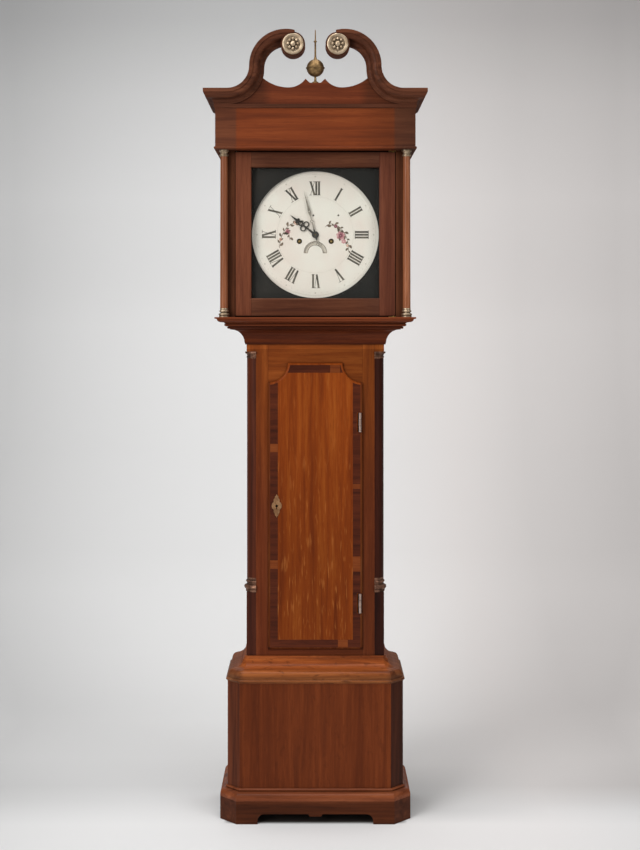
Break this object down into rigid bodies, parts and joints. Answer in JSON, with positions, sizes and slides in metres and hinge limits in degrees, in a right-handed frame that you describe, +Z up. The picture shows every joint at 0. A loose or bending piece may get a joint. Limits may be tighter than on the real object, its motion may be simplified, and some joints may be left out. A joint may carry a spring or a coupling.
{
  "type": "longcase clock",
  "caption": "Tall oak and mahogany case clock with swan-neck pediment, round painted dial, opening doors, sliding hood, weights, pendulum and geared movement.",
  "frame": {"origin": "middle of the clock's overall footprint, on the floor under the feet", "axes": "+Z up, front and dial face -Y, +X to the right of someone facing the dial, back flat against a wall at +Y"},
  "size_m": [0.5726, 0.281, 2.044],
  "materials": {
    "pine": "bare softwood, darkened with age",
    "oak": "waxed oak with long grain",
    "oak_veneer": "waxed oak with streaked grain",
    "mahogany": "waxed mahogany, mid red brown",
    "mahogany_dark": "waxed dark mahogany",
    "old_brass": "tarnished brass",
    "brass": "aged brass",
    "bell_metal": "cast and turned bell metal",
    "blued_steel": "darkened steel",
    "steel": "bright steel gone dull",
    "iron": "bare iron",
    "painted_iron": "cream painted iron sheet",
    "black_paint": "matt black paint",
    "glass": "clear window glass",
    "gut": "twisted gut"
  },
  "bodies": {
    "case": {"backboard": "pine", "trunk_sides": "oak", "trunk_front_frame": "oak", "quarter_columns": "mahogany_dark", "trunk_column_brasses": "old_brass", "throat_moulding": "mahogany", "base_top_moulding": "mahogany", "base_front_panel": "oak_veneer", "base_sides": "oak", "base_corner_posts": "mahogany_dark", "plinth_moulding": "mahogany", "plinth_skirt": "mahogany_dark", "seat_board": "pine", "trunk_hinge_case_leaves": "brass", "movement_plates": "brass", "dial": "painted_iron", "back_cock": "brass", "bell": "bell_metal", "going_line": "gut", "strike_line": "gut"},
    "hood": {"hood_base_moulding": "mahogany", "hood_carcase": "oak", "frieze": "mahogany", "cornice": "mahogany", "pediment_board": "mahogany", "swan_necks": "mahogany", "rosettes": "old_brass", "finial": "old_brass", "hood_columns": "mahogany", "hood_column_brasses": "old_brass", "dial_mask": "black_paint", "hood_door_pivots": "brass"},
    "hood_door": {"hood_door_frame": "mahogany", "hood_glass": "glass"},
    "trunk_door": {"trunk_door": "oak_veneer", "door_crossbanding": "mahogany_dark", "escutcheon": "old_brass", "trunk_hinge_door_leaves": "brass", "trunk_lock": "iron"},
    "lock_bolt": {"lock_bolt": "steel"},
    "pendulum": {"pendulum_rod": "steel", "pendulum_bob": "brass"},
    "pallets": {"pallets": "steel"},
    "escape_wheel": {"escape_wheel": "brass"},
    "third_wheel": {"third_wheel": "brass"},
    "centre_arbor": {"centre_wheel": "brass", "minute_hand": "brass"},
    "going_great_wheel": {"going_great_wheel": "brass"},
    "minute_wheel": {"minute_wheel": "brass"},
    "hour_hand": {"hour_hand": "blued_steel"},
    "date_disc": {"date_disc": "painted_iron"},
    "going_weight": {"going_weight": "iron"},
    "strike_weight": {"strike_weight": "iron"},
    "going_barrel": {"going_barrel": "brass"},
    "strike_barrel": {"strike_barrel": "brass"},
    "going_pulley": {"going_pulley": "brass"},
    "strike_pulley": {"strike_pulley": "brass"},
    "strike_great_wheel": {"strike_great_wheel": "brass"},
    "pin_wheel": {"pin_wheel": "brass"},
    "hammer": {"hammer": "steel"}
  },
  "joints": [
    {"name": "hood_slide", "type": "slide", "parent": "case", "child": "hood", "axis": [0, -1, 0], "range_m": [0, 0.3]},
    {"name": "hood_door_hinge", "type": "hinge", "parent": "hood", "child": "hood_door", "pos_m": [0.2025, -0.0685, 1.52], "axis": [0, 0, 1], "range_deg": [0, 105]},
    {"name": "trunk_door_hinge", "type": "hinge", "parent": "case", "child": "trunk_door", "pos_m": [0.117, -0.0395, 0.81], "axis": [0, 0, 1], "range_deg": [0, 110]},
    {"name": "lock_bolt_slide", "type": "slide", "parent": "trunk_door", "child": "lock_bolt", "axis": [-1, 0, 0], "range_m": [0, 0.009]},
    {"name": "pendulum_swing", "type": "hinge", "parent": "case", "child": "pendulum", "pos_m": [0, 0.0805, 1.585], "axis": [0, 1, 0], "range_deg": [-3, 3]},
    {"name": "pallets_rock", "type": "hinge", "parent": "case", "child": "pallets", "pos_m": [0, 0, 1.585], "axis": [0, 1, 0], "range_deg": [-3.1, 3.1]},
    {"name": "centre_arbor_turn", "type": "hinge", "parent": "case", "child": "centre_arbor", "pos_m": [0, 0, 1.519], "axis": [0, 1, 0], "continuous": true},
    {"name": "going_great_wheel_turn", "type": "hinge", "parent": "case", "child": "going_great_wheel", "pos_m": [0.0415, 0, 1.502], "axis": [0, 1, 0], "continuous": true},
    {"name": "third_wheel_turn", "type": "hinge", "parent": "case", "child": "third_wheel", "pos_m": [0.0165, 0, 1.54477], "axis": [0, 1, 0], "continuous": true},
    {"name": "escape_wheel_turn", "type": "hinge", "parent": "case", "child": "escape_wheel", "pos_m": [0, 0, 1.56382], "axis": [0, 1, 0], "continuous": true},
    {"name": "minute_wheel_turn", "type": "hinge", "parent": "case", "child": "minute_wheel", "pos_m": [0, 0, 1.4974], "axis": [0, 1, 0], "continuous": true},
    {"name": "hour_hand_turn", "type": "hinge", "parent": "case", "child": "hour_hand", "pos_m": [0, 0, 1.519], "axis": [0, 1, 0], "continuous": true},
    {"name": "date_disc_turn", "type": "hinge", "parent": "case", "child": "date_disc", "pos_m": [0, 0, 1.472], "axis": [0, 1, 0], "continuous": true},
    {"name": "strike_great_wheel_turn", "type": "hinge", "parent": "case", "child": "strike_great_wheel", "pos_m": [-0.0415, 0, 1.502], "axis": [0, 1, 0], "continuous": true},
    {"name": "pin_wheel_turn", "type": "hinge", "parent": "case", "child": "pin_wheel", "pos_m": [-0.032, 0, 1.53774], "axis": [0, 1, 0], "continuous": true},
    {"name": "hammer_lift", "type": "hinge", "parent": "case", "child": "hammer", "pos_m": [-0.044, 0, 1.569], "axis": [0, 1, 0], "range_deg": [-8, 0], "stiffness_Nm_per_rad": 0.05, "springref_deg": 5.73},
    {"name": "going_weight_travel", "type": "slide", "parent": "case", "child": "going_weight", "axis": [0, 0, 1], "range_m": [0, 1], "deforming": ["going_line"]},
    {"name": "strike_weight_travel", "type": "slide", "parent": "case", "child": "strike_weight", "axis": [0, 0, 1], "range_m": [0, 1], "deforming": ["strike_line"]},
    {"name": "going_barrel_turn", "type": "hinge", "parent": "case", "child": "going_barrel", "pos_m": [0.0415, 0, 1.502], "axis": [0, 1, 0], "range_deg": [0, 5200]},
    {"name": "strike_barrel_turn", "type": "hinge", "parent": "case", "child": "strike_barrel", "pos_m": [-0.0415, 0, 1.502], "axis": [0, 1, 0], "range_deg": [0, 5200]},
    {"name": "going_pulley_turn", "type": "hinge", "parent": "going_weight", "child": "going_pulley", "pos_m": [0.0415, 0.02275, 0.3273], "axis": [0, 1, 0], "range_deg": [0, 2600]},
    {"name": "strike_pulley_turn", "type": "hinge", "parent": "strike_weight", "child": "strike_pulley", "pos_m": [-0.0415, 0.02275, 0.3273], "axis": [0, 1, 0], "range_deg": [0, 2600]}
  ],
  "couplings": [
    {"joint": "pallets_rock", "follows": "pendulum_swing", "ratio": 1},
    {"joint": "going_great_wheel_turn", "follows": "centre_arbor_turn", "ratio": -0.083333},
    {"joint": "third_wheel_turn", "follows": "centre_arbor_turn", "ratio": -7.5},
    {"joint": "escape_wheel_turn", "follows": "centre_arbor_turn", "ratio": 60},
    {"joint": "minute_wheel_turn", "follows": "centre_arbor_turn", "ratio": -1},
    {"joint": "hour_hand_turn", "follows": "centre_arbor_turn", "ratio": 0.083333},
    {"joint": "date_disc_turn", "follows": "centre_arbor_turn", "ratio": -0.0013441},
    {"joint": "pin_wheel_turn", "follows": "strike_great_wheel_turn", "ratio": -9.75},
    {"joint": "going_barrel_turn", "follows": "going_weight_travel", "rad_per_m": 89.686},
    {"joint": "going_pulley_turn", "follows": "going_weight_travel", "rad_per_m": 44.843},
    {"joint": "strike_barrel_turn", "follows": "strike_weight_travel", "rad_per_m": 89.686},
    {"joint": "strike_pulley_turn", "follows": "strike_weight_travel", "rad_per_m": 44.843}
  ]
}
